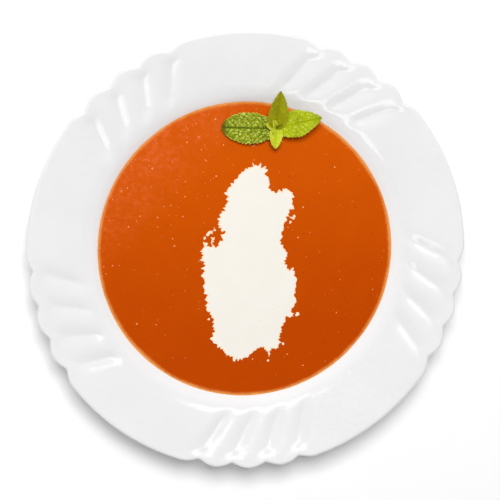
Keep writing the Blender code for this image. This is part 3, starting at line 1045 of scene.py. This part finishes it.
def leaf_material(name, mint, flesh, crease_shade_and_tip, painted_light):
    """Mint leaf: painted shade in the creases, painted highlights on the puffs and edges, and brownish at
    the tip.
    """
    made, tree, shader, _, grain = begin_surface(
        name, 0.006, 0.0007, 0.5, IOR=1.45, Specular_IOR_Level=0.12
    )
    relief, rim, along = (
        add(tree, "ShaderNodeAttribute", attribute_name=mark).outputs["Fac"] for mark in LEAF_MARKS
    )
    patches = stretch(tree, grain, 0.38, 0.62, 0.30, 0.0)
    base = blend_colour(tree, patches, flesh, mint.crease_shade_and_patches)
    # Painted highlight: the puffs are paler where the relief is high.
    raised = stretch(tree, relief, 0.45, 0.90, 0.0, painted_light)
    base = blend_colour(tree, raised, base, mint.puff_highlight)
    # Painted shade: the creases are darker where the relief is low.
    painted_crease_shade = stretch(tree, relief, 0.10, 0.52, crease_shade_and_tip, 0.0)
    base = blend_colour(tree, painted_crease_shade, base, mint.crease_shade_and_patches)
    # Painted highlight: the leaves' edges are paler.
    edge = stretch(tree, rim, 0.15, 0.55, painted_light * 0.8, 0.0)
    base = blend_colour(tree, edge, base, mint.edge)
    tip = stretch(tree, along, 0.84, 0.98, 0.0, crease_shade_and_tip)
    base = blend_colour(tree, tip, base, mint.tip)
    finish_surface(tree, shader, grain, base, gloss=(0.36, 0.52), relief=0.0003)
    return made


class SOUP_OT_leaves(bpy.types.Operator):
    """Grow the leaves of the mint tip, large and small"""

    bl_idname = "soup.leaves"
    bl_label = "Mint leaves"

    def execute(self, context):
        mint = context.scene.mint_tip
        noise.seed_set(WRINKLE_SEED)
        for name, sizes in LEAVES.items():
            clear_selection()
            bpy.ops.mesh.primitive_grid_add(
                x_subdivisions=mint.rows, y_subdivisions=mint.columns, size=1
            )
            leaf = name_piece(f"mint_leaf_{name}")
            shape_leaf(leaf, mint, sizes)
            apply_modifier(leaf, "SOLIDIFY", thickness=mint.thickness, offset=-1)
            flesh = getattr(mint, sizes["flesh"])
            finish = leaf_material(f"Mint {name}", mint, flesh, sizes["crease_shade_and_tip"], sizes["painted_light"])
            settle(leaf, "mint_sprig", finish)
        return {"FINISHED"}


def stem_material(mint):
    """Young mint stem, darker in patches."""
    made, tree, shader, _, grain = begin_surface("Mint stem", 0.003, 0.0006, 0.4, Specular_IOR_Level=0.25)
    patches = blend_colour(tree, stretch(tree, grain, 0.35, 0.65), mint.grown, mint.young)
    finish_surface(tree, shader, grain, patches, gloss=(0.4, 0.6), relief=0.0002)
    return made


class SOUP_OT_stem(bpy.types.Operator):
    """Stand the mint's stem in the soup"""

    bl_idname = "soup.stem"
    bl_label = "Mint stem"

    def execute(self, context):
        mint = context.scene.mint_tip
        foot = Vector((mint.node_x - 0.5 * MM, mint.node_y - 1.0 * MM, STEM_FOOT))
        node = Vector((mint.node_x, mint.node_y, mint.node_z + 2.4 * MM))
        clear_selection()
        bpy.ops.mesh.primitive_cylinder_add(
            vertices=24, radius=mint.stem_radius, depth=0.5 * MM, end_fill_type="NGON"
        )
        stem = name_piece("mint_stem")
        bpy.ops.object.mode_set(mode="EDIT")
        bpy.ops.mesh.select_all(action="SELECT")
        bpy.ops.transform.translate(value=foot + Vector((0, 0, 0.25 * MM)))
        bpy.ops.object.mode_set(mode="OBJECT")
        for face in stem.data.polygons:
            face.select = face.normal.z > 0.9
        bpy.ops.object.mode_set(mode="EDIT")
        bpy.ops.mesh.select_mode(type="FACE")
        rise = (node - foot) / 8
        for step in range(8):
            bpy.ops.mesh.extrude_region_move(TRANSFORM_OT_translate={"value": rise})
            swell = 1.06 if step > 4 else 0.99
            bpy.ops.transform.resize(value=(swell, swell, 1))
        bpy.ops.object.mode_set(mode="OBJECT")
        settle(stem, "mint_sprig", stem_material(mint))
        return {"FINISHED"}


# Stage


LAMP_DISTANCE = 1.2


def look_along(camera, place, target, upwards):
    """Stands the camera at a place, facing the target, with the picture's top towards upwards."""
    back = (place - target).normalized()
    right = upwards.cross(back).normalized()
    top = back.cross(right)
    camera.matrix_world = (
        (right.x, right.y, right.z, 0),
        (top.x, top.y, top.z, 0),
        (back.x, back.y, back.z, 0),
        (place.x, place.y, place.z, 1),
    )


def floor_material(stage):
    """Plain matt white, a little uneven."""
    made, tree, shader, _, grain = begin_surface(
        "Pale floor", 0.2, 0.02, 0.2, Roughness=0.9, Specular_IOR_Level=0.1
    )
    white = blend_colour(tree, grain, (0.91, 0.91, 0.91, 1), (0.95, 0.95, 0.95, 1))
    tree.links.new(white, shader.inputs["Base Color"])
    shader.inputs["Emission Color"].default_value = (1, 1, 1, 1)
    shader.inputs["Emission Strength"].default_value = stage.glow
    return made


def add_sky(stage):
    """Soft light from all round, darker straight above."""
    world = bpy.data.worlds.new("Studio")
    bpy.context.scene.world = world
    world.use_nodes = True
    tree = world.node_tree
    up = add(tree, "ShaderNodeTexCoord").outputs["Generated"]
    level = stretch(tree, axes_of(tree, up)["Z"], 0.45, 0.90, 1.0, 0.25)
    background = tree.nodes["Background"]
    background.inputs["Color"].default_value = (1.0, 1.0, 1.0, 1)
    strength = calculate(tree, "MULTIPLY", level, stage.sky)
    tree.links.new(strength, background.inputs["Strength"])


def add_softbox(name, azimuth, height, width, depth, power):
    """A large soft light that faces the plate from LAMP_DISTANCE away."""
    clear_selection()
    outwards = Vector(
        (math.cos(azimuth) * math.cos(height), math.sin(azimuth) * math.cos(height), math.sin(height))
    )
    bpy.ops.object.light_add(type="AREA", location=outwards * LAMP_DISTANCE)
    lamp = name_piece(name)
    lamp.data.shape = "RECTANGLE"
    lamp.data.size = width
    lamp.data.size_y = depth
    lamp.data.energy = power
    lamp.rotation_mode = "QUATERNION"
    lamp.rotation_quaternion = outwards.to_track_quat("Z", "Y")
    return lamp


class SOUP_OT_stage(bpy.types.Operator):
    """Set the floor, the lights and the camera"""

    bl_idname = "soup.stage"
    bl_label = "Stage"

    def execute(self, context):
        stage = context.scene.soup_stage
        clear_selection()
        bpy.ops.mesh.primitive_plane_add(size=8)
        floor = name_piece("floor")
        floor.data.materials.append(floor_material(stage))
        add_sky(stage)
        far = add_softbox("far_glint", stage.far_glint, stage.far_height, 0.60, 0.28, stage.glint)
        weaker = stage.glint * 0.75
        near = add_softbox("near_glint", stage.near_glint, stage.near_height, 0.52, 0.26, weaker)
        far.visible_diffuse = False
        near.visible_diffuse = False
        panel = add_softbox("top_light", stage.top_azimuth, stage.top_height, 0.36, 0.36, stage.top)
        panel.visible_glossy = False
        bpy.ops.object.camera_add()
        camera = name_piece("camera")
        camera.data.lens = stage.lens
        camera.data.sensor_width = 36
        target = Vector((stage.aim_x, -stage.aim_y, SOUP_LEVEL))
        across = math.sin(stage.tilt)
        back = Vector(
            (across * math.cos(stage.azimuth), across * math.sin(stage.azimuth), math.cos(stage.tilt))
        )
        look_along(camera, target + back * stage.distance, target, Vector((0, 1, 0)))
        camera.data.clip_start = 0.01
        context.scene.camera = camera
        context.scene.view_settings.view_transform = "Standard"
        return {"FINISHED"}


class SOUP_PT_panel(bpy.types.Panel):
    """Sidebar list of the pieces"""

    bl_idname = "SOUP_PT_panel"
    bl_label = "Plate of tomato soup"
    bl_space_type = "VIEW_3D"
    bl_region_type = "UI"
    bl_category = "Soup"

    def draw(self, context):
        column = self.layout.column()
        for operator in OPERATORS:
            column.operator(operator.bl_idname)


OPERATORS = (
    SOUP_OT_plate,
    SOUP_OT_soup,
    SOUP_OT_bubbles,
    SOUP_OT_specks,
    SOUP_OT_cream,
    SOUP_OT_leaves,
    SOUP_OT_stem,
    SOUP_OT_stage,
)
PROPERTIES = {
    "soup_plate": SoupPlateProperties,
    "tomato_soup": TomatoSoupProperties,
    "cream_pool": CreamPoolProperties,
    "mint_tip": MintTipProperties,
    "soup_stage": SoupStageProperties,
}


def register():
    for name, properties in PROPERTIES.items():
        bpy.utils.register_class(properties)
        setattr(bpy.types.Scene, name, bpy.props.PointerProperty(type=properties))
    for operator in OPERATORS:
        bpy.utils.register_class(operator)
    bpy.utils.register_class(SOUP_PT_panel)


def unregister():
    bpy.utils.unregister_class(SOUP_PT_panel)
    for operator in reversed(OPERATORS):
        bpy.utils.unregister_class(operator)
    for name, properties in PROPERTIES.items():
        delattr(bpy.types.Scene, name)
        bpy.utils.unregister_class(properties)


def main():
    register()
    bpy.ops.soup.plate()
    bpy.ops.soup.soup()
    bpy.ops.soup.bubbles()
    bpy.ops.soup.specks()
    bpy.ops.soup.cream()
    bpy.ops.soup.leaves()
    bpy.ops.soup.stem()
    bpy.ops.soup.stage()


if __name__ == "__main__":
    main()
